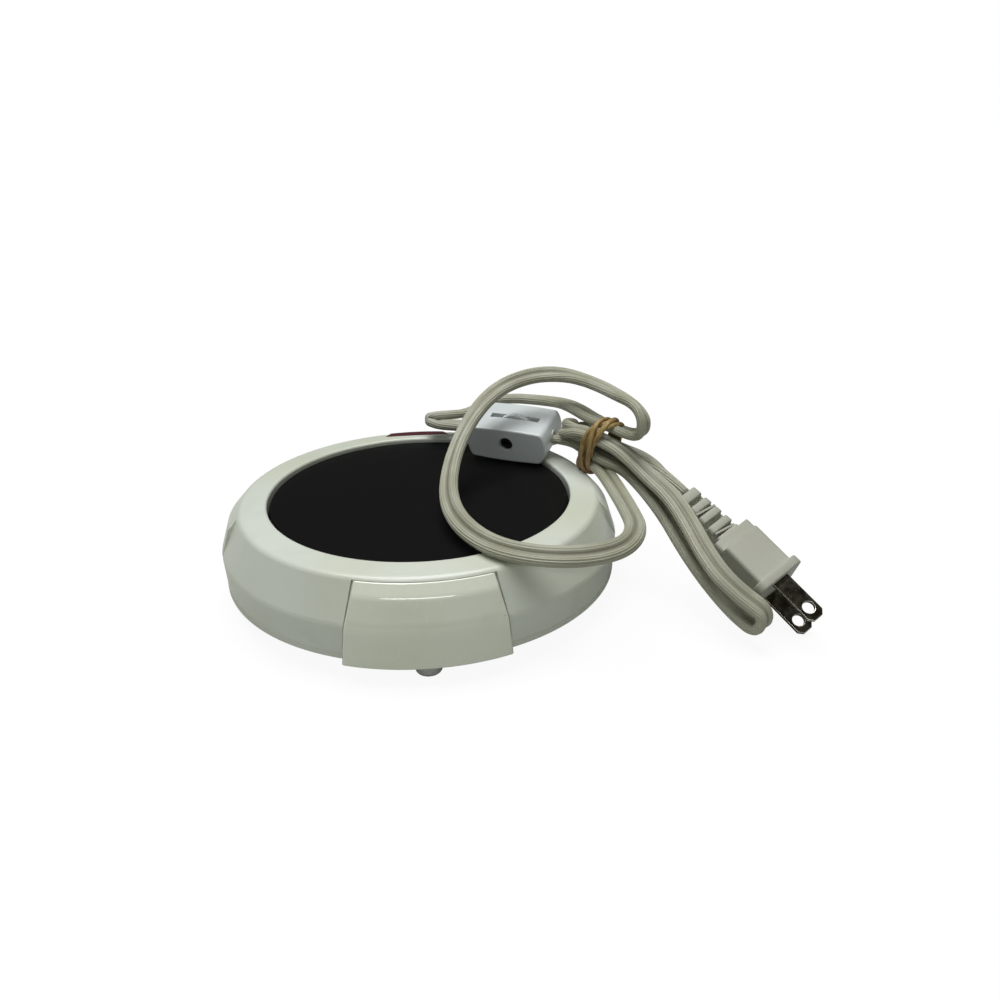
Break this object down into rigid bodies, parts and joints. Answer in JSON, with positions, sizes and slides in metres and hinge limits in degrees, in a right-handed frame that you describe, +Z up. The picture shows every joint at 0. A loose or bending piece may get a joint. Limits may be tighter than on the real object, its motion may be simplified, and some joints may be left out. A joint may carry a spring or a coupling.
{
  "type": "candle warmer plate with a tied cord",
  "caption": "White round candle warmer with a black heated plate, a red indicator lens, a thumbwheel switch on its cream flat cord, a tied cord bundle and a two-blade plug.",
  "frame": {"origin": "Middle of the body on the surface that its feet stand on, on the axis of the round heated plate", "axes": "+Z is up along the plate's axis; -Y is the front, where the wide panel is; +X is the side where the cord bundle lies"},
  "size_m": [0.1981, 0.1534, 0.0674],
  "materials": {
    "housing": "glossy white moulding",
    "lens": "dark red translucent",
    "plate_coating": "satin black coating",
    "gasket_rubber": "grey silicone",
    "steel": "zinc plated",
    "foot_rubber": "grey-white rubber",
    "element": "foil faced",
    "insulation": "pressed fibre",
    "dark_plastic": "moulded",
    "brass": "stamped",
    "lamp_glass": "clear",
    "cord_plastic": "cream vinyl, satin",
    "lead_plastic": "vinyl",
    "switch_plastic": "satin gloss",
    "wheel_plastic": "moulded grey",
    "plug_plastic": "satin vinyl",
    "blade_metal": "nickel plated",
    "band_rubber": "tan, worn"
  },
  "bodies": {
    "body": {"top_housing": "housing", "base_cover": "housing", "front_panel": "housing", "indicator_lens": "lens", "heating_plate": "plate_coating", "plate_gasket": "gasket_rubber", "plate_retainer": "steel", "retainer_screws": "steel", "base_screws": "steel", "feet": "foot_rubber", "heating_element": "element", "insulation_pad": "insulation", "pressure_plate": "steel", "plate_stud": "steel", "stud_washer": "steel", "stud_nut": "steel", "thermostat": "dark_plastic", "thermostat_terminals": "brass", "thermal_fuse": "steel", "fuse_clip": "steel", "neon_lamp": "lamp_glass", "lamp_holder": "housing", "lamp_resistor": "dark_plastic", "cord_gland": "cord_plastic", "cord_tail": "cord_plastic", "cord_clamp": "housing", "clamp_screws": "steel", "crimp_sleeves": "dark_plastic", "lead_cord_to_thermostat": "lead_plastic", "lead_thermostat_to_heater": "lead_plastic", "lead_heater_to_fuse": "lead_plastic", "lead_fuse_to_cord": "lead_plastic", "lead_lamp_to_cord": "lead_plastic", "lead_resistor_to_cord": "lead_plastic", "switch_front_half": "switch_plastic", "switch_back_half": "switch_plastic", "switch_axle": "brass", "switch_screw": "steel", "switch_nut": "steel", "switch_contacts": "brass", "plug_body": "plug_plastic", "plug_core": "dark_plastic", "plug_blades": "blade_metal", "rubber_band": "band_rubber", "cord_body_stretch": "cord_plastic", "cord_hank": "cord_plastic"},
    "wheel": {"thumbwheel": "wheel_plastic"}
  },
  "joints": [
    {"name": "switch_wheel", "type": "hinge", "parent": "body", "child": "wheel", "pos_m": [0.03908, 0.03533, 0.0423], "axis": [-0.4271, -0.8962, -0.12], "continuous": true}
  ]
}
